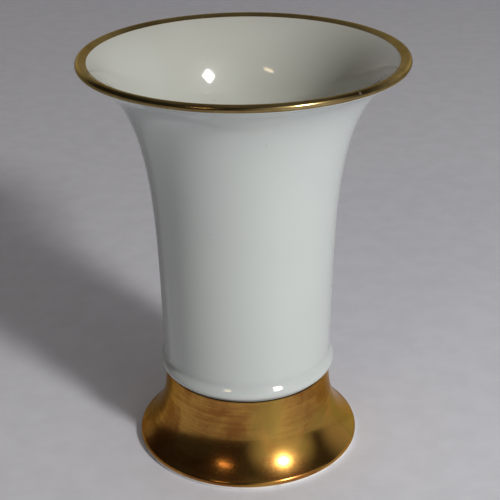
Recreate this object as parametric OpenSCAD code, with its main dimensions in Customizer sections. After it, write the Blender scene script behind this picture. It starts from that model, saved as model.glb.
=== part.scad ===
// Porcelain vase: a trumpet-shaped vessel standing on a hollow, flared and gilded foot.
// The vessel and the foot are cast apart, stuck together with slip, glazed, fired and gilded.
// Millimetres, +Z up, origin at the centre of the standing ring. Every piece turns about Z.

/* [Overall] */
// Height from the standing ring to the top of the gilded lip
height = 200; // [190:1:215]
// Radius of the gilded lip
lip_r = 75.7; // [70:0.1:80]

/* [Vessel] */
// Wall thickness with its glaze; the lip is a half round of this thickness
wall = 3.8; // [3:0.1:4.5]
// Radius of the trunk where it leaves the bead
waist_r = 41.4; // [39:0.1:43]
// Height at which the bead's shoulder has faded into the trunk
waist_z = 49.6; // [49:0.1:54]
// How far the trunk's outline leans out along its lower handle
trunk_lean = 2.2; // [0:0.1:5]
// Length of the trunk outline's lower handle: longer keeps the trunk straighter
trunk_rise = 74; // [58:1:88]
// Length of the outline's upper handle: longer makes the mouth flare lower down
flare_reach = 37; // [28:1:44]
// Slope of the flare where it meets the lip, in degrees above the horizontal
flare_angle = 25; // [18:1:35]
// Thickness of the vessel's floor with its glaze
floor_t = 4.8; // [4:0.1:5.5]
// Inside radius between the vessel's floor and its wall, where the trunk leaves room for it
well_round = 4; // [2:0.5:6]

/* [Bead] */
// Radius at the bead's widest point
bead_r = 43.5; // [43:0.1:45]
// Height of the bead's widest point
bead_z = 44.6; // [43.8:0.1:45.2]
// Radius of the bead's rounded underside
bead_round = 3; // [2:0.1:3.2]
// How far the bead keeps its width upwards before its shoulder turns in
shoulder_rise = 2.4; // [1:0.1:3]
// How far the hollow over the shoulder runs up into the trunk
shoulder_hollow = 2; // [1:0.1:3]

/* [Foot] */
// Radius of the foot at its rounded edge
foot_r = 55.7; // [52:0.1:60]
// Radius of the foot's neck under the bead
neck_r = 41.2; // [40:0.1:42]
// Height of the foot's widest point
edge_z = 2.2; // [2:0.1:3]
// Radius that rounds the top of the foot's edge
edge_round = 2.2; // [1.5:0.1:3]
// Slope of the foot where it meets its edge, in degrees below the horizontal
foot_slope = 39; // [32:1:48]
// Length of the handle that carries the foot's slope inwards
foot_reach = 15.8; // [12:0.1:18]
// Length of the handle that keeps the neck upright
neck_drop = 13.7; // [10:0.1:18]
// Thickness of the neck's wall with its glaze
neck_wall = 3.8; // [3:0.1:5]
// Width of the bare standing ring
ring_w = 4; // [3:0.1:5]

/* [Coats] */
// Thickness of the glaze
glaze_t = 0.25; // [0.2:0.01:0.3]
// Thickness of the gilding, far thicker than real gold so that it is a solid
gild_t = 0.12; // [0.1:0.01:0.15]
// Width of the lip's gilding on the inside of the mouth
gild_inside = 2.3; // [1:0.1:4]
// How far the lip's gilding turns under the lip, in degrees below its widest point
gild_under = 28; // [10:1:50]
// Height at which the foot's coats stop above the bare standing ring
bare_z = 1.8; // [0.8:0.1:1.8]
// Thickness of the slip that joins the vessel to the foot
seam_t = 0.65; // [0.3:0.05:0.8]

/* [Hidden] */
$fn = 180;

porcelain = "#e6e3dc";
slip = "#8a8078";
glaze = "#dfe2e2";
well = "#cfd3cc";
gold = "#b98a2e";

// Heights where the pieces meet
joint_z = bead_z - bead_round;
neck_z = joint_z - seam_t;
floor_z = joint_z + floor_t;

// Vessel outline at the face of its glaze, as cubic curves that run upwards
half_wall = wall / 2;
lip_c = [lip_r - gild_t - half_wall, height - gild_t - half_wall];
lip_under = flare_angle - 90;
lip_inner = lip_under + 180;
lip_split = 30;
flare_end = lip_c + half_wall * [cos(lip_under), sin(lip_under)];
trunk = [
    [waist_r, waist_z],
    [waist_r + trunk_lean, waist_z + trunk_rise],
    flare_end - flare_reach * [cos(flare_angle), sin(flare_angle)],
    flare_end
];
bead_c = [bead_r - bead_round, bead_z];
shoulder = [
    [bead_r, bead_z],
    [bead_r, bead_z + shoulder_rise],
    [waist_r, waist_z - shoulder_hollow],
    [waist_r, waist_z]
];
well_corner = min(well_round, waist_z - floor_z);
well_c = [waist_r - wall - well_corner, floor_z + well_corner];

// Foot outline at the face of its glaze, which lies under the gilding
edge_r = foot_r - gild_t;
edge_c = [edge_r - edge_round, edge_z];
edge_top = 90 - foot_slope;
flange_end = edge_c + edge_round * [cos(edge_top), sin(edge_top)];
foot_flare = [
    flange_end,
    flange_end + foot_reach * [-cos(foot_slope), sin(foot_slope)],
    [neck_r - gild_t, neck_z - neck_drop],
    [neck_r - gild_t, neck_z]
];

// Standing ring and the hollow recess inside the foot
ring_outer_r = foot_r - 0.2;
ring_inner_r = ring_outer_r - ring_w;
ring_chamfer = 0.4;
recess_z = 1.6;
recess_top_r = neck_r - gild_t - neck_wall;
recess_pull = 0.72 * foot_reach;
recess_flare = [
    [ring_inner_r, recess_z],
    [ring_inner_r, recess_z] + recess_pull * [-cos(foot_slope), sin(foot_slope)],
    [recess_top_r, neck_z - neck_drop],
    [recess_top_r, neck_z]
];

// Point and inward normal of a cubic curve at t, for a curve that runs upwards
function bezier(p, t) =
    pow(1 - t, 3) * p[0] + 3 * pow(1 - t, 2) * t * p[1] + 3 * (1 - t) * pow(t, 2) * p[2] + pow(t, 3) * p[3];
function tangent(p, t) =
    pow(1 - t, 2) * (p[1] - p[0]) + 2 * (1 - t) * t * (p[2] - p[1]) + pow(t, 2) * (p[3] - p[2]);
function inward(v) = [-v[1], v[0]] / norm(v);

// The curve's points from t0 to t1, moved a depth d into the wall behind it
function sunk(p, d, steps, t0 = 0, t1 = 1) =
    [for (i = [0:steps]) let (t = t0 + (t1 - t0) * i / steps) bezier(p, t) + d * inward(tangent(p, t))];
function arc(c, r, a0, a1, steps) =
    [for (i = [0:steps]) let (a = a0 + (a1 - a0) * i / steps) c + r * [cos(a), sin(a)]];
function reversed(list) = [for (i = [len(list) - 1:-1:0]) list[i]];
function rest_of(list) = [for (i = [1:len(list) - 1]) list[i]];

// Vessel's outside, from under the bead up to the crown of the lip, at a depth below the glaze's face
function vessel_outside(d) = concat(
    arc(bead_c, bead_round - d, -90, 0, 10),
    rest_of(sunk(shoulder, d, 10)),
    rest_of(sunk(trunk, d, 36)),
    rest_of(arc(lip_c, half_wall - d, lip_under, lip_split, 8))
);

// Vessel's inside, from the crown of the lip down to the middle of the floor
function vessel_inside(d) = concat(
    arc(lip_c, half_wall - d, lip_split, lip_inner, 8),
    rest_of(reversed(sunk(trunk, wall - d, 36))),
    arc(well_c, well_corner + d, 0, -90, 8),
    [[0, floor_z - d]]
);

// Foot's outside, from the bare ring up to the seam
function foot_outside(d) = concat(
    [[edge_r - d, bare_z]],
    arc(edge_c, edge_round - d, 0, edge_top, 8),
    rest_of(sunk(foot_flare, d, 24))
);

// Foot's recess, from the standing ring up to the seam
function foot_recess(d) = sunk(recess_flare, -d, 20);

module turned(outline) {
    rotate_extrude()
        polygon(outline);
}

// Biscuit of the vessel: bead, trunk, flare, lip and closed floor
module vessel_body() {
    color(porcelain)
        turned(concat([[0, joint_z], [bead_c[0], joint_z]], vessel_outside(glaze_t), vessel_inside(glaze_t)));
}

// Biscuit of the foot, with its bare standing ring
module pedestal_foot() {
    standing_ring = [
        [ring_inner_r, ring_chamfer],
        [ring_inner_r + ring_chamfer, 0],
        [ring_outer_r - ring_chamfer, 0],
        [ring_outer_r, ring_chamfer],
        [ring_outer_r, bare_z]
    ];
    color(porcelain)
        turned(concat(standing_ring, foot_outside(glaze_t), reversed(foot_recess(glaze_t))));
}

// Fired slip between the vessel and the foot, a little inside the gilded neck
module luting_seam() {
    color(slip)
        turned([
            [recess_top_r + glaze_t, neck_z],
            [bead_c[0] - glaze_t, neck_z],
            [bead_c[0] - glaze_t, joint_z],
            [recess_top_r + glaze_t, joint_z]
        ]);
}

// Glaze on the vessel's outside
module vessel_glaze() {
    color(glaze)
        turned(concat(vessel_outside(0), reversed(vessel_outside(glaze_t))));
}

// Glaze inside the vessel
module well_glaze() {
    color(well)
        turned(concat(vessel_inside(0), reversed(vessel_inside(glaze_t))));
}

// Glaze on the foot's outside, under the gilding
module foot_glaze() {
    color(glaze)
        turned(concat(foot_outside(0), reversed(foot_outside(glaze_t))));
}

// Glaze inside the foot and under the vessel's floor
module recess_glaze() {
    ceiling = [
        [recess_top_r + glaze_t, joint_z],
        [0, joint_z],
        [0, joint_z - glaze_t],
        [recess_top_r, joint_z - glaze_t]
    ];
    color(glaze)
        turned(concat(foot_recess(glaze_t), ceiling, reversed(foot_recess(0))));
}

// Gold over the lip, down the inside of the mouth and round to the lip's underside
module rim_gilding() {
    band_t = 1 - gild_inside / (3 * flare_reach);
    function gilded_lip(d) = concat(
        arc(lip_c, half_wall + d, -gild_under, lip_inner, 16),
        rest_of(sunk(trunk, wall + d, 2, 1, band_t))
    );
    color(gold)
        turned(concat(gilded_lip(gild_t), reversed(gilded_lip(0))));
}

// Gold over the whole outside of the foot
module foot_gilding() {
    color(gold)
        turned(concat(foot_outside(-gild_t), reversed(foot_outside(0))));
}

vessel_body();
pedestal_foot();
luting_seam();
vessel_glaze();
well_glaze();
foot_glaze();
recess_glaze();
rim_gilding();
foot_gilding();
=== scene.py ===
"""Porcelain vase: the glaze, gold and bare clay that show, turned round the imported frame, and a plain stage.

The vessel's and the foot's outlines are cubic curves and arcs in the plane through the vase's axis, as
(radius, height) points in metres. Each coat is a closed cross-section turned round that axis.
"""

import math
from types import SimpleNamespace

import bmesh
import bpy
from bpy.props import FloatProperty, FloatVectorProperty, IntProperty, PointerProperty
from mathutils import Matrix, Quaternion, Vector


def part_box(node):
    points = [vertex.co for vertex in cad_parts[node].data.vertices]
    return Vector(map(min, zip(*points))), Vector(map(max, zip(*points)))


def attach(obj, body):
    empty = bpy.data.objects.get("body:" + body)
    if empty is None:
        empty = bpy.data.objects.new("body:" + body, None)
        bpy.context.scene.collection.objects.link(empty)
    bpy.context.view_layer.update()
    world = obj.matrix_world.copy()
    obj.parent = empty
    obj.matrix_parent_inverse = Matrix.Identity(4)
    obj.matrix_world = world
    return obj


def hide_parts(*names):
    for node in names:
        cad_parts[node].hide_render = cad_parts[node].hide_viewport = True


bl_info = {
    "name": "Porcelain Vase",
    "version": (1, 0, 0),
    "blender": (4, 5, 0),
    "location": "3D View > Sidebar > Vase",
    "description": "Turns a gilded porcelain vase and sets its stage",
    "category": "Add Mesh",
}

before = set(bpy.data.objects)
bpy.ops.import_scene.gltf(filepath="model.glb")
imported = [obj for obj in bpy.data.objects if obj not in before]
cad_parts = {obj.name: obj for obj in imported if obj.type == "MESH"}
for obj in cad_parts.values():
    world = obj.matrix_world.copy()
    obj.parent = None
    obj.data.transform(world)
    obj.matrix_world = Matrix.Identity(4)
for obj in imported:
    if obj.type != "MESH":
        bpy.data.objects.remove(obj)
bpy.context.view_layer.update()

LIP_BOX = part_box("rim_gilding")
FOOT_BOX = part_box("foot_gilding")
GLAZE_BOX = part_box("vessel_glaze")
RING_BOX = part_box("pedestal_foot")
SMOOTH_UNDER = math.radians(38)
SAME_PLACE = 1e-6

# Where the outside of the lip hands over to the inside, in degrees above its widest point
LIP_SPLIT = 30
# Where the recess starts above the floor, and how far its slope's handle reaches of the foot's own
RECESS_HEIGHT = 0.0016
RECESS_PULL = 0.72
# Rounding of the standing ring's two edges
RING_SOFT = 0.0008
# What the lights point at, and the window's and the lamp's distance from it
AIM = Vector((0, 0, 0.1))
WINDOW_AWAY = 1.6
LAMP_AWAY = 2.0
# Light that comes from all round the dim room, and its glows: how far right of the front and how high
# the middle of each is, how far it reaches, all in degrees, and its colour
ROOM_BASE = (0.029, 0.027, 0.030)
ROOM_GLOWS = (
    (41, 12, 46, (0.58, 0.565, 0.54)),
    (41, 30, 20, (0.40, 0.39, 0.375)),
    (128, 4, 42, (0.34, 0.34, 0.35)),
    (176, 10, 56, (0.30, 0.29, 0.28)),
    (180, 85, 45, (0.12, 0.115, 0.11)),
    (-147, 4, 30, (0.22, 0.20, 0.18)),
)


def length(name, description, default):
    """A size property in metres."""
    return FloatProperty(
        name=name, description=description, default=default, min=0, precision=5, subtype="DISTANCE", unit="LENGTH"
    )


def angle(name, description, degrees):
    """An angle property, given in degrees."""
    return FloatProperty(
        name=name, description=description, default=math.radians(degrees), subtype="ANGLE", unit="ROTATION"
    )


def colour(name, description, default):
    """A linear colour property."""
    return FloatVectorProperty(
        name=name, description=description, default=default, size=3, min=0, max=1, subtype="COLOR"
    )


class VaseSizes(bpy.types.PropertyGroup):
    """Sizes of the vase, with its overall sizes taken from the frame."""

    height: length("Height", "Top of the gilded lip", LIP_BOX[1].z)
    lip_radius: length("Lip radius", "Outside of the gilded lip", LIP_BOX[1].x)
    wall: length("Wall", "Vessel wall with its glaze; the lip is a half round of it", 0.0038)
    waist_radius: length("Waist radius", "Trunk where it leaves the bead", 0.0414)
    waist_height: length("Waist height", "Where the bead's shoulder has faded into the trunk", 0.0496)
    trunk_lean: length("Trunk lean", "How far the trunk's lower handle leans out", 0.0022)
    trunk_rise: length("Trunk rise", "Length of the trunk's lower handle", 0.074)
    flare_reach: length("Flare reach", "Length of the flare's upper handle", 0.037)
    flare_angle: angle("Flare angle", "Slope of the flare at the lip, above the horizontal", 25)
    floor: length("Floor", "Thickness of the vessel's floor", 0.0048)
    well_round: length("Well round", "Inside radius between floor and wall", 0.004)
    bead_radius: length("Bead radius", "Widest point of the bead", 0.0435)
    bead_round: length("Bead round", "Radius of the bead's underside", 0.003)
    shoulder_rise: length("Shoulder rise", "How far up the bead keeps its width", 0.0024)
    shoulder_hollow: length("Shoulder hollow", "How far the hollow runs up into the trunk", 0.002)
    joint_height: length("Joint height", "Underside of the vessel", GLAZE_BOX[0].z)
    foot_radius: length("Foot radius", "Rounded edge of the foot", FOOT_BOX[1].x)
    neck_height: length("Neck height", "Top of the gilded neck", FOOT_BOX[1].z)
    neck_radius: length("Neck radius", "Neck under the bead", 0.0412)
    edge_height: length("Edge height", "Height of the foot's widest point", 0.0022)
    edge_round: length("Edge round", "Radius that rounds the top of the foot's edge", 0.0022)
    foot_slope: angle("Foot slope", "Slope of the foot at its edge, below the horizontal", 39)
    foot_reach: length("Foot reach", "Handle that carries the foot's slope inwards", 0.0158)
    neck_drop: length("Neck drop", "Handle that keeps the neck upright", 0.0137)
    neck_wall: length("Neck wall", "Thickness of the neck's wall", 0.0038)
    ring_radius: length("Ring radius", "Outside of the bare standing ring", RING_BOX[1].x)
    ring_width: length("Ring width", "Width of the bare standing ring", 0.004)
    bare_height: length("Bare height", "Where the foot's coats stop", FOOT_BOX[0].z)
    glaze: length("Glaze", "Thickness of the glaze", 0.00025)
    gilding: length("Gilding", "Thickness of the gold", 0.00012)
    gold_inside: length("Gold inside", "Width of the lip's gold inside the mouth", 0.0023)
    gold_under: angle("Gold under", "How far the lip's gold turns under it", 28)
    around: IntProperty(name="Around", description="Faces round each piece", default=192, min=48, max=256)


class VaseColours(bpy.types.PropertyGroup):
    """Colours of the vase's finishes."""

    glaze: colour("Glaze", "Glaze on the vessel's outside", (0.638, 0.69, 0.668))
    glaze_shade: colour("Glaze shade", "Cooler tone that drifts through the glaze", (0.62, 0.665, 0.655))
    glaze_pool: colour("Glaze pool", "Glaze where it gathers thick in a hollow", (0.595, 0.64, 0.635))
    inside: colour("Inside glaze", "Glaze inside the mouth", (0.62, 0.64, 0.59))
    inside_shade: colour("Inside shade", "Duller tone inside the mouth", (0.585, 0.60, 0.55))
    gold: colour("Foot gold", "Bright gold on the foot", (0.60, 0.325, 0.076))
    gold_deep: colour("Foot gold, deep", "Redder patches in the foot's gold", (0.35, 0.142, 0.036))
    gold_olive: colour("Foot gold, olive", "Greener, duller patches in the foot's gold", (0.43, 0.28, 0.060))
    lip_gold: colour("Lip gold", "Gold on the lip", (0.40, 0.30, 0.125))
    lip_gold_deep: colour("Lip gold, deep", "Browner patches in the lip's gold", (0.26, 0.18, 0.075))
    lip_gold_olive: colour("Lip gold, olive", "Greener patches in the lip's gold", (0.30, 0.25, 0.11))
    biscuit: colour("Bare clay", "Unglazed porcelain of the standing ring", (0.90, 0.885, 0.85))
    slip: colour("Slip", "Fired slip in the joint", (0.10, 0.075, 0.055))


class VaseStage(bpy.types.PropertyGroup):
    """The floor, the lights and the camera."""

    floor: colour("Floor", "Plain pale floor", (0.87, 0.88, 0.95))
    floor_radius: length("Floor radius", "Radius of the floor", 8.0)
    camera_back: length("Camera distance", "From the vase's axis, level", 0.511)
    camera_height: length("Camera height", "Above the floor", 0.3456)
    camera_pitch: angle("Camera pitch", "Downward tilt", 25.53)
    camera_yaw: angle("Camera yaw", "Turn to the right", 0.22)
    camera_roll: angle("Camera roll", "Roll about the view", -0.67)
    camera_lens: FloatProperty(name="Camera lens", description="Focal length", default=83.8, unit="CAMERA")
    window_side: angle("Window side", "Direction of the window, right of the front", 41)
    window_rise: angle("Window rise", "Elevation of the window", 31)
    window_power: FloatProperty(name="Window power", description="Power of the window light in watts", default=14.2)
    lamp_side: angle("Lamp side", "Direction of the lamp, right of the front", -29.5)
    lamp_rise: angle("Lamp rise", "Elevation of the lamp", 35.5)
    lamp_power: FloatProperty(name="Lamp power", description="Power of the small warm lamp", default=1.2)


# Curves in the plane through the axis


def bezier(p, t):
    """Point at t on a cubic curve with the four control points p."""
    s = 1 - t
    return s**3 * p[0] + 3 * s * s * t * p[1] + 3 * s * t * t * p[2] + t**3 * p[3]


def inward(p, t):
    """Unit normal at t that points into the wall, for a curve that runs upwards."""
    s = 1 - t
    along = s * s * (p[1] - p[0]) + 2 * s * t * (p[2] - p[1]) + t * t * (p[3] - p[2])
    return Vector((-along.y, along.x)).normalized()


def sunk(p, depth, steps, t0=0.0, t1=1.0):
    """Points along a cubic curve from t0 to t1, a depth into the wall behind it."""
    places = [t0 + (t1 - t0) * i / steps for i in range(steps + 1)]
    return [bezier(p, t) + depth * inward(p, t) for t in places]


def arc(centre, radius, start, end, steps):
    """Points along an arc between two angles in degrees."""
    angles = [math.radians(start + (end - start) * i / steps) for i in range(steps + 1)]
    return [centre + radius * Vector((math.cos(a), math.sin(a))) for a in angles]


def heading(degrees):
    """Unit direction at an angle above the outward horizontal."""
    return Vector((math.cos(math.radians(degrees)), math.sin(math.radians(degrees))))


def vase_lines(s):
    """The control points and centres of the vase's outlines at the face of its glaze."""
    half = s.wall / 2
    under = math.degrees(s.flare_angle) - 90
    lip = Vector((s.lip_radius - s.gilding - half, s.height - s.gilding - half))
    flare_end = lip + half * heading(under)
    bead = Vector((s.bead_radius - s.bead_round, s.joint_height + s.bead_round))
    floor_height = s.joint_height + s.floor
    corner = min(s.well_round, s.waist_height - floor_height)
    slope = math.degrees(s.foot_slope)
    edge = Vector((s.foot_radius - s.gilding - s.edge_round, s.edge_height))
    flange_end = edge + s.edge_round * heading(90 - slope)
    neck = s.neck_radius - s.gilding
    ring_inside = s.ring_radius - s.ring_width
    recess_start = Vector((ring_inside, RECESS_HEIGHT))
    recess_neck = neck - s.neck_wall
    uphill = heading(180 - slope)
    return SimpleNamespace(
        half=half,
        under=under,
        lip=lip,
        bead=bead,
        floor_height=floor_height,
        corner=corner,
        well=Vector((s.waist_radius - s.wall - corner, floor_height + corner)),
        trunk=[
            Vector((s.waist_radius, s.waist_height)),
            Vector((s.waist_radius + s.trunk_lean, s.waist_height + s.trunk_rise)),
            flare_end - s.flare_reach * heading(math.degrees(s.flare_angle)),
            flare_end,
        ],
        shoulder=[
            Vector((s.bead_radius, bead.y)),
            Vector((s.bead_radius, bead.y + s.shoulder_rise)),
            Vector((s.waist_radius, s.waist_height - s.shoulder_hollow)),
            Vector((s.waist_radius, s.waist_height)),
        ],
        edge=edge,
        edge_top=90 - slope,
        foot=[
            flange_end,
            flange_end + s.foot_reach * uphill,
            Vector((neck, s.neck_height - s.neck_drop)),
            Vector((neck, s.neck_height)),
        ],
        ring_inside=ring_inside,
        recess_neck=recess_neck,
        recess=[
            recess_start,
            recess_start + RECESS_PULL * s.foot_reach * uphill,
            Vector((recess_neck, s.neck_height - s.neck_drop)),
            Vector((recess_neck, s.neck_height)),
        ],
    )


def vessel_outside(s, depth):
    """The vessel's outside from under the bead to the crown of the lip."""
    v = vase_lines(s)
    return (
        arc(v.bead, s.bead_round - depth, -90, 0, 20)
        + sunk(v.shoulder, depth, 28)[1:]
        + sunk(v.trunk, depth, 96)[1:]
        + arc(v.lip, v.half - depth, v.under, LIP_SPLIT, 20)[1:]
    )


def vessel_inside(s, depth):
    """The vessel's inside from the crown of the lip to the middle of the floor."""
    v = vase_lines(s)
    return (
        arc(v.lip, v.half - depth, LIP_SPLIT, v.under + 180, 20)
        + sunk(v.trunk, s.wall - depth, 96)[::-1][1:]
        + arc(v.well, v.corner + depth, 0, -90, 20)
        + [Vector((r, v.floor_height - depth)) for r in (0.02, 0.008, 0.0)]
    )


def foot_outside(s, depth):
    """The foot's outside from its bare ring to the seam."""
    v = vase_lines(s)
    side = s.foot_radius - s.gilding - depth
    return (
        [Vector((side, s.bare_height))]
        + arc(v.edge, s.edge_round - depth, 0, v.edge_top, 20)
        + sunk(v.foot, depth, 72)[1:]
    )


def foot_recess(s, depth):
    """The hollow inside the foot from its ring to the seam."""
    return sunk(vase_lines(s).recess, -depth, 48)


# Turning and finishing


def turned_piece(name, section, around):
    """A closed cross-section of (radius, height) points, turned round the axis into one solid."""
    bpy.ops.object.select_all(action="DESELECT")
    bpy.ops.mesh.primitive_circle_add(vertices=len(section), radius=section[0].x, enter_editmode=True)
    piece = bpy.context.object
    piece.name = name
    piece.data.name = name
    corners = bmesh.from_edit_mesh(piece.data)
    for corner, point in zip(corners.verts, section):
        corner.co = (point.x, 0, point.y)
    bmesh.update_edit_mesh(piece.data)
    bpy.ops.mesh.select_all(action="SELECT")
    bpy.ops.mesh.spin(steps=around, angle=2 * math.pi, center=(0, 0, 0), axis=(0, 0, 1))
    bpy.ops.mesh.select_all(action="SELECT")
    bpy.ops.mesh.remove_doubles(threshold=SAME_PLACE)
    bpy.ops.mesh.delete_loose(use_verts=True, use_edges=True, use_faces=False)
    bpy.ops.mesh.select_all(action="SELECT")
    bpy.ops.mesh.normals_make_consistent(inside=False)
    bpy.ops.object.mode_set(mode="OBJECT")
    bpy.ops.object.shade_smooth_by_angle(angle=SMOOTH_UNDER)
    if not piece.data.polygons:
        raise RuntimeError(f"{name} was not turned")
    return piece


def hand_over(piece, material, node):
    """Gives a finished piece its material and puts it in its CAD node's place."""
    piece.data.materials.clear()
    piece.data.materials.append(material)
    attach(piece, "root")
    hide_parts(node)


# Materials


class Finish:
    """A procedural material on Object coordinates, with short calls for the nodes that it uses."""

    def __init__(self, name, **settings):
        self.material = bpy.data.materials.new(name)
        self.material.use_nodes = True
        self.tree = self.material.node_tree
        self.tree.nodes.clear()
        output = self.tree.nodes.new("ShaderNodeOutputMaterial")
        self.shader = self.tree.nodes.new("ShaderNodeBsdfPrincipled")
        self.join(self.shader.outputs["BSDF"], output.inputs["Surface"])
        self.place = self.tree.nodes.new("ShaderNodeTexCoord").outputs["Object"]
        for socket, value in settings.items():
            self.set(socket.replace("_", " ").title(), value)

    def join(self, source, target):
        self.tree.links.new(source, target)

    def set(self, socket, value):
        """Sets the shader's own socket to a colour or number."""
        wanted = next(i for i in self.shader.inputs if i.name.lower() == socket.lower())
        wanted.default_value = (*value, 1) if isinstance(value, tuple) else value

    def drive(self, socket, source):
        self.join(source, self.shader.inputs[socket])

    def stretched(self, scale):
        """Object coordinates scaled by a different amount along each axis."""
        node = self.tree.nodes.new("ShaderNodeMapping")
        node.inputs["Scale"].default_value = scale
        self.join(self.place, node.inputs["Vector"])
        return node.outputs["Vector"]

    def noise(self, scale, detail=3.0, roughness=0.5, distortion=0.0, where=None):
        node = self.tree.nodes.new("ShaderNodeTexNoise")
        node.inputs["Scale"].default_value = scale
        node.inputs["Detail"].default_value = detail
        node.inputs["Roughness"].default_value = roughness
        node.inputs["Distortion"].default_value = distortion
        self.join(where or self.place, node.inputs["Vector"])
        return node.outputs["Fac"]

    def spread(self, source, low, high, to_low=0.0, to_high=1.0):
        """Maps the range low to high onto to_low to to_high, and clamps it."""
        node = self.tree.nodes.new("ShaderNodeMapRange")
        node.interpolation_type = "SMOOTHSTEP"
        for socket, value in zip(("From Min", "From Max", "To Min", "To Max"), (low, high, to_low, to_high)):
            node.inputs[socket].default_value = value
        self.join(source, node.inputs["Value"])
        return node.outputs["Result"]

    def maths(self, operation, first, second):
        """One sum on two values, each a number or another node's value."""
        node = self.tree.nodes.new("ShaderNodeMath")
        node.operation = operation
        for socket, value in zip(node.inputs, (first, second)):
            if isinstance(value, (int, float)):
                socket.default_value = value
            else:
                self.join(value, socket)
        return node.outputs["Value"]

    def blend(self, share, first, second):
        """Mixes two colours, each a tuple or another node's colour."""
        node = self.tree.nodes.new("ShaderNodeMix")
        node.data_type = "RGBA"
        self.join(share, node.inputs["Factor"])
        for socket, value in ((node.inputs[6], first), (node.inputs[7], second)):
            if isinstance(value, bpy.types.NodeSocket):
                self.join(value, socket)
            else:
                socket.default_value = (*value, 1)
        return node.outputs[2]

    def height(self):
        """Height above the floor."""
        node = self.tree.nodes.new("ShaderNodeSeparateXYZ")
        self.join(self.place, node.inputs["Vector"])
        return node.outputs["Z"]

    def near(self, point, reach):
        """1 at a point, falling to 0 at the reach."""
        node = self.tree.nodes.new("ShaderNodeVectorMath")
        node.operation = "DISTANCE"
        self.join(self.place, node.inputs[0])
        node.inputs[1].default_value = point
        return self.spread(node.outputs["Value"], reach * 0.4, reach, 1.0, 0.0)

    def bumps(self, *layers):
        """Stacks bump layers, each a height source and how far it stands proud in metres."""
        normal = None
        for source, distance in layers:
            node = self.tree.nodes.new("ShaderNodeBump")
            node.inputs["Distance"].default_value = distance
            self.join(source, node.inputs["Height"])
            if normal:
                self.join(normal, node.inputs["Normal"])
            normal = node.outputs["Normal"]
        self.drive("Normal", normal)


def glaze_finish(name, clear, shade, pool=None, hollows=()):
    """Glossy glaze: tone that drifts, thick pools in hollows, a few iron specks and a faintly wavy skin."""
    f = Finish(name, ior=1.5, specular_ior_level=0.5)
    tone = f.blend(f.spread(f.noise(14, detail=2), 0.35, 0.65), clear, shade)
    for low, high in hollows:
        middle = (low + high) / 2
        rise = f.spread(f.height(), low, middle)
        fall = f.spread(f.height(), middle, high, 1.0, 0.0)
        tone = f.blend(f.maths("MULTIPLY", rise, fall), tone, pool)
    specks = f.spread(f.noise(420, detail=1), 0.80, 0.83, 0.0, 0.35)
    f.drive("Base Color", f.blend(specks, tone, (0.30, 0.24, 0.19)))
    f.drive("Roughness", f.spread(f.noise(60, detail=4), 0.3, 0.7, 0.05, 0.11))
    f.bumps((f.noise(38, detail=1), 0.00009), (f.noise(420, detail=2), 0.000004))
    return f.material


def gold_finish(name, tones, edge, satin, polished, grain, ripple, under_bead_shade=None, wear_spots=()):
    """Burnished gold: brushed round the vase, blotched where it is thin, rubbed in places.

    tones are its bright, deep and olive colours, and edge is its tint at a glancing angle. satin and
    polished are the roughness of deep and bright gold, to which grain adds; ripple scales the bumps.
    under_bead_shade is the height where painted shade under the bead starts to darken the gold and the height where
    it is darkest.
    """
    f = Finish(name, metallic=1.0, ior=1.45)
    f.set("Specular Tint", edge)
    f.set("Anisotropic", 0.35)
    f.set("Anisotropic Rotation", 0.25)
    blotch = f.noise(34, detail=6, roughness=0.62, distortion=0.6)
    bands = f.noise(1.0, detail=5, roughness=0.7, where=f.stretched((22, 22, 520)))
    patch = f.maths("ADD", f.maths("MULTIPLY", blotch, 0.72), f.maths("MULTIPLY", bands, 0.28))
    bright, deep, olive = tones
    tone = f.blend(f.spread(patch, 0.40, 0.58), deep, bright)
    tone = f.blend(f.spread(f.noise(27, detail=3, distortion=0.6), 0.54, 0.68, 0.0, 0.8), tone, olive)
    rough = f.spread(patch, 0.38, 0.62, satin, polished)
    rough = f.maths("ADD", rough, f.spread(f.noise(5600, detail=1), 0.42, 0.62, 0.0, grain))
    if under_bead_shade:
        gold, shade_darkest = under_bead_shade
        # Painted shade: near the top of the neck, in the crease under the bead, the gold is mixed towards a
        # near-black brown
        tone = f.blend(f.spread(f.height(), gold, shade_darkest), tone, (0.05, 0.028, 0.014))
    for point, reach in wear_spots:
        rubbed = f.near(point, reach)
        tone = f.blend(rubbed, tone, (0.30, 0.25, 0.20))
        rough = f.maths("ADD", rough, f.maths("MULTIPLY", rubbed, 0.25))
    f.drive("Base Color", tone)
    f.drive("Roughness", rough)
    f.bumps((blotch, 0.00006 * ripple), (bands, 0.00001 * ripple), (f.noise(900, detail=3), 0.000003))
    return f.material


def clay_finish(name, clean, grey):
    """Bare fired clay: fine grain, rubbed a little grey."""
    f = Finish(name, ior=1.5)
    f.drive("Base Color", f.blend(f.spread(f.noise(90, detail=5), 0.45, 0.7), clean, grey))
    f.drive("Roughness", f.spread(f.noise(300, detail=3), 0.3, 0.7, 0.55, 0.75))
    f.bumps((f.noise(1500, detail=3), 0.00002))
    return f.material


def floor_finish(name, tone):
    """Pale table top with a soft sheen and a faint, even grain."""
    f = Finish(name, ior=1.45, specular_ior_level=0.25)
    darker = tuple(0.955 * c for c in tone)
    f.drive("Base Color", f.blend(f.spread(f.noise(60, detail=6, roughness=0.6), 0.35, 0.65), tone, darker))
    f.drive("Roughness", f.spread(f.noise(9, detail=2), 0.3, 0.7, 0.50, 0.56))
    f.bumps((f.noise(700, detail=3), 0.00002))
    return f.material


# Operators: one for each coat or group of like pieces, and one for the stage


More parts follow.
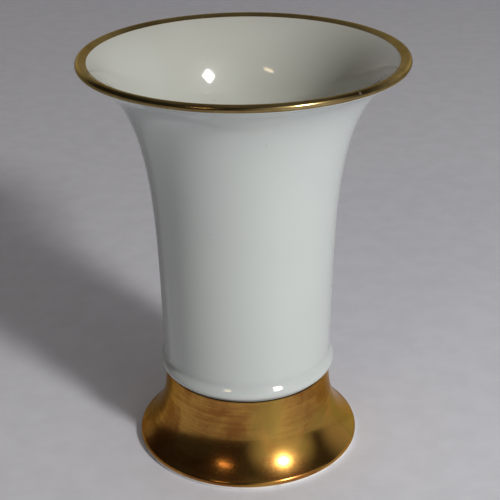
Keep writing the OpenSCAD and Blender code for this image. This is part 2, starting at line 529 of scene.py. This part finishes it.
class VesselGlaze(bpy.types.Operator):
    """Turn the glaze on the vessel's outside"""

    bl_idname = "vase.vessel_glaze"
    bl_label = "Vessel Glaze"

    def execute(self, context):
        s, c = context.scene.vase_sizes, context.scene.vase_colours
        section = vessel_outside(s, 0) + vessel_outside(s, s.glaze)[::-1]
        piece = turned_piece("glaze_outside", section, s.around)
        hollows = ((s.waist_height - 0.004, s.waist_height + 0.0035),)
        coat = glaze_finish("white_glaze", tuple(c.glaze), tuple(c.glaze_shade), tuple(c.glaze_pool), hollows)
        hand_over(piece, coat, "vessel_glaze")
        return {"FINISHED"}


class WellGlaze(bpy.types.Operator):
    """Turn the glaze inside the vessel"""

    bl_idname = "vase.well_glaze"
    bl_label = "Inside Glaze"

    def execute(self, context):
        s, c = context.scene.vase_sizes, context.scene.vase_colours
        section = vessel_inside(s, 0) + vessel_inside(s, s.glaze)[::-1]
        piece = turned_piece("glaze_inside", section, s.around)
        coat = glaze_finish("inside_glaze", tuple(c.inside), tuple(c.inside_shade))
        hand_over(piece, coat, "well_glaze")
        return {"FINISHED"}


class FootRing(bpy.types.Operator):
    """Turn the foot's clay, with its bare standing ring, and the glaze in its recess"""

    bl_idname = "vase.foot_clay"
    bl_label = "Foot Clay and Recess"

    def execute(self, context):
        s, c = context.scene.vase_sizes, context.scene.vase_colours
        v = vase_lines(s)
        inner = Vector((v.ring_inside + RING_SOFT, RING_SOFT))
        outer = Vector((s.ring_radius - RING_SOFT, RING_SOFT))
        ring = arc(inner, RING_SOFT, 180, 270, 6) + arc(outer, RING_SOFT, 270, 360, 6)
        ring += [Vector((s.ring_radius, s.bare_height))]
        section = ring + foot_outside(s, s.glaze) + foot_recess(s, s.glaze)[::-1]
        clay = clay_finish("bare_clay", tuple(c.biscuit), tuple(0.8 * x for x in c.biscuit))
        hand_over(turned_piece("foot_clay", section, s.around), clay, "pedestal_foot")
        ceiling = [
            Vector((v.recess_neck + s.glaze, s.joint_height)),
            Vector((0, s.joint_height)),
            Vector((0, s.joint_height - s.glaze)),
            Vector((v.recess_neck, s.joint_height - s.glaze)),
        ]
        section = foot_recess(s, s.glaze) + ceiling + foot_recess(s, 0)[::-1]
        coat = glaze_finish("recess_white_glaze", tuple(c.glaze), tuple(c.glaze_shade))
        hand_over(turned_piece("glaze_recess", section, s.around), coat, "recess_glaze")
        return {"FINISHED"}


class FootGold(bpy.types.Operator):
    """Turn the gold that covers the foot"""

    bl_idname = "vase.foot_gold"
    bl_label = "Foot Gold"

    def execute(self, context):
        s, c = context.scene.vase_sizes, context.scene.vase_colours
        section = foot_outside(s, -s.gilding) + foot_outside(s, 0)[::-1]
        piece = turned_piece("gold_foot", section, s.around)
        # Painted shade in the gold's top millimetre, in the crease under the bead
        under_bead_shade = (s.neck_height - 0.0011, s.neck_height - 0.0004)
        tones = (tuple(c.gold), tuple(c.gold_deep), tuple(c.gold_olive))
        gold = gold_finish("foot_gold", tones, (0.86, 0.69, 0.44), 0.18, 0.11, 0.12, 1.0, under_bead_shade)
        hand_over(piece, gold, "foot_gilding")
        return {"FINISHED"}


class LipGold(bpy.types.Operator):
    """Turn the gold over the lip"""

    bl_idname = "vase.lip_gold"
    bl_label = "Lip Gold"

    def execute(self, context):
        s, c = context.scene.vase_sizes, context.scene.vase_colours
        v = vase_lines(s)
        stop = 1 - s.gold_inside / (3 * s.flare_reach)

        def over_lip(proud):
            return (
                arc(v.lip, v.half + proud, -math.degrees(s.gold_under), v.under + 180, 36)
                + sunk(v.trunk, s.wall + proud, 6, 1.0, stop)[1:]
            )

        piece = turned_piece("gold_lip", over_lip(s.gilding) + over_lip(0)[::-1], s.around)
        nick = Vector((0.047, -0.0585, s.height - 0.0008))
        tones = (tuple(c.lip_gold), tuple(c.lip_gold_deep), tuple(c.lip_gold_olive))
        gold = gold_finish("lip_gold", tones, (0.78, 0.66, 0.44), 0.20, 0.12, 0.06, 0.3, None, [(nick, 0.0011)])
        hand_over(piece, gold, "rim_gilding")
        return {"FINISHED"}


class HiddenPieces(bpy.types.Operator):
    """Give the pieces under the coats, which stay as the frame has them, their finishes"""

    bl_idname = "vase.hidden_pieces"
    bl_label = "Clay, Slip and Underglaze"

    def execute(self, context):
        c = context.scene.vase_colours
        clay = clay_finish("body_clay", tuple(c.biscuit), tuple(0.85 * x for x in c.biscuit))
        slip = clay_finish("fired_slip", tuple(c.slip), tuple(0.6 * x for x in c.slip))
        under_gold = glaze_finish("under_gold_glaze", tuple(c.glaze), tuple(c.glaze_shade))
        for node, material in (("vessel_body", clay), ("luting_seam", slip), ("foot_glaze", under_gold)):
            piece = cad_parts[node]
            piece.data.materials.clear()
            piece.data.materials.append(material)
        return {"FINISHED"}


class Stage(bpy.types.Operator):
    """Lay the floor, hang the lights and set the camera"""

    bl_idname = "vase.stage"
    bl_label = "Stage"

    def execute(self, context):
        g = context.scene.vase_stage
        bpy.ops.object.select_all(action="DESELECT")
        bpy.ops.mesh.primitive_circle_add(vertices=96, radius=g.floor_radius, fill_type="NGON")
        floor = context.object
        floor.name = "stage_floor"
        floor.data.materials.append(floor_finish("pale_floor", tuple(g.floor)))
        self.room(context)
        window_at = self.towards(g.window_side, g.window_rise, WINDOW_AWAY)
        self.light("window", window_at, (0.24, 0.20), 40, g.window_power, (1.0, 0.985, 0.96))
        lamp_at = self.towards(g.lamp_side, g.lamp_rise, LAMP_AWAY)
        self.light("lamp", lamp_at, (0.34, 0.07), 24, g.lamp_power, (1.0, 0.76, 0.46))
        self.camera(context, g)
        return {"FINISHED"}

    def facing(self, side, rise):
        """Unit direction from the vase at an angle right of the front and above the floor."""
        return Vector((math.sin(side) * math.cos(rise), -math.cos(side) * math.cos(rise), math.sin(rise)))

    def towards(self, side, rise, distance):
        """A place seen from the middle of the vase in that direction."""
        return self.facing(side, rise) * distance + AIM

    def light(self, name, place, size, roll, power, tint):
        bpy.ops.object.light_add(type="AREA", location=place)
        light = bpy.context.object
        light.name = name
        light.rotation_mode = "QUATERNION"
        facing = (place - AIM).to_track_quat("Z", "Y")
        light.rotation_quaternion = facing @ Quaternion((0, 0, 1), math.radians(roll))
        light.data.shape = "RECTANGLE"
        light.data.size, light.data.size_y = size
        light.data.energy = power
        light.data.color = tint

    def room(self, context):
        """A dim room: a little light from all round, and soft glows under the window, behind and overhead."""
        world = bpy.data.worlds.new("dim_room")
        context.scene.world = world
        world.use_nodes = True
        tree = world.node_tree
        tree.nodes.clear()
        out = tree.nodes.new("ShaderNodeOutputWorld")
        background = tree.nodes.new("ShaderNodeBackground")
        place = tree.nodes.new("ShaderNodeTexCoord").outputs["Generated"]
        tree.links.new(background.outputs["Background"], out.inputs["Surface"])
        total = None
        for side, rise, reach_out, glow in ROOM_GLOWS:
            dot = tree.nodes.new("ShaderNodeVectorMath")
            dot.operation = "DOT_PRODUCT"
            dot.inputs[1].default_value = self.facing(math.radians(side), math.radians(rise))
            tree.links.new(place, dot.inputs[0])
            reach = tree.nodes.new("ShaderNodeMapRange")
            reach.interpolation_type = "SMOOTHSTEP"
            reach.inputs["From Min"].default_value = math.cos(math.radians(reach_out))
            reach.inputs["From Max"].default_value = 1.0
            tree.links.new(dot.outputs["Value"], reach.inputs["Value"])
            tint = tree.nodes.new("ShaderNodeVectorMath")
            tint.operation = "SCALE"
            tint.inputs[0].default_value = glow
            tree.links.new(reach.outputs["Result"], tint.inputs["Scale"])
            add = tree.nodes.new("ShaderNodeVectorMath")
            add.operation = "ADD"
            add.inputs[0].default_value = ROOM_BASE
            if total:
                tree.links.new(total, add.inputs[0])
            tree.links.new(tint.outputs["Vector"], add.inputs[1])
            total = add.outputs["Vector"]
        tree.links.new(total, background.inputs["Color"])

    def camera(self, context, g):
        turn = (
            Matrix.Rotation(-g.camera_yaw, 4, "Z")
            @ Matrix.Rotation(math.pi / 2 - g.camera_pitch, 4, "X")
            @ Matrix.Rotation(g.camera_roll, 4, "Z")
        )
        bpy.ops.object.camera_add()
        camera = context.object
        camera.name = "camera"
        camera.matrix_world = Matrix.Translation((0, -g.camera_back, g.camera_height)) @ turn
        camera.data.lens = g.camera_lens
        camera.data.sensor_width = 36
        camera.data.clip_start = 0.01
        camera.data.clip_end = 50
        context.scene.camera = camera
        context.scene.view_settings.view_transform = "Standard"


class VasePanel(bpy.types.Panel):
    """Sizes, colours and steps of the vase"""

    bl_idname = "VASE_PT_panel"
    bl_label = "Porcelain Vase"
    bl_space_type = "VIEW_3D"
    bl_region_type = "UI"
    bl_category = "Vase"

    def draw(self, context):
        column = self.layout.column()
        for step in STEPS:
            column.operator(step.bl_idname)
        for group in (context.scene.vase_sizes, context.scene.vase_colours, context.scene.vase_stage):
            box = self.layout.box()
            for name in group.bl_rna.properties.keys()[2:]:
                box.prop(group, name)


STEPS = (VesselGlaze, WellGlaze, FootRing, FootGold, LipGold, HiddenPieces, Stage)
GROUPS = {"vase_sizes": VaseSizes, "vase_colours": VaseColours, "vase_stage": VaseStage}


def register():
    for made in (*GROUPS.values(), *STEPS, VasePanel):
        bpy.utils.register_class(made)
    for name, group in GROUPS.items():
        setattr(bpy.types.Scene, name, PointerProperty(type=group))


def unregister():
    for name in GROUPS:
        delattr(bpy.types.Scene, name)
    for made in reversed((*GROUPS.values(), *STEPS, VasePanel)):
        bpy.utils.unregister_class(made)


def main():
    register()
    for step in STEPS:
        folder, name = step.bl_idname.split(".")
        getattr(getattr(bpy.ops, folder), name)()


if __name__ == "__main__":
    main()
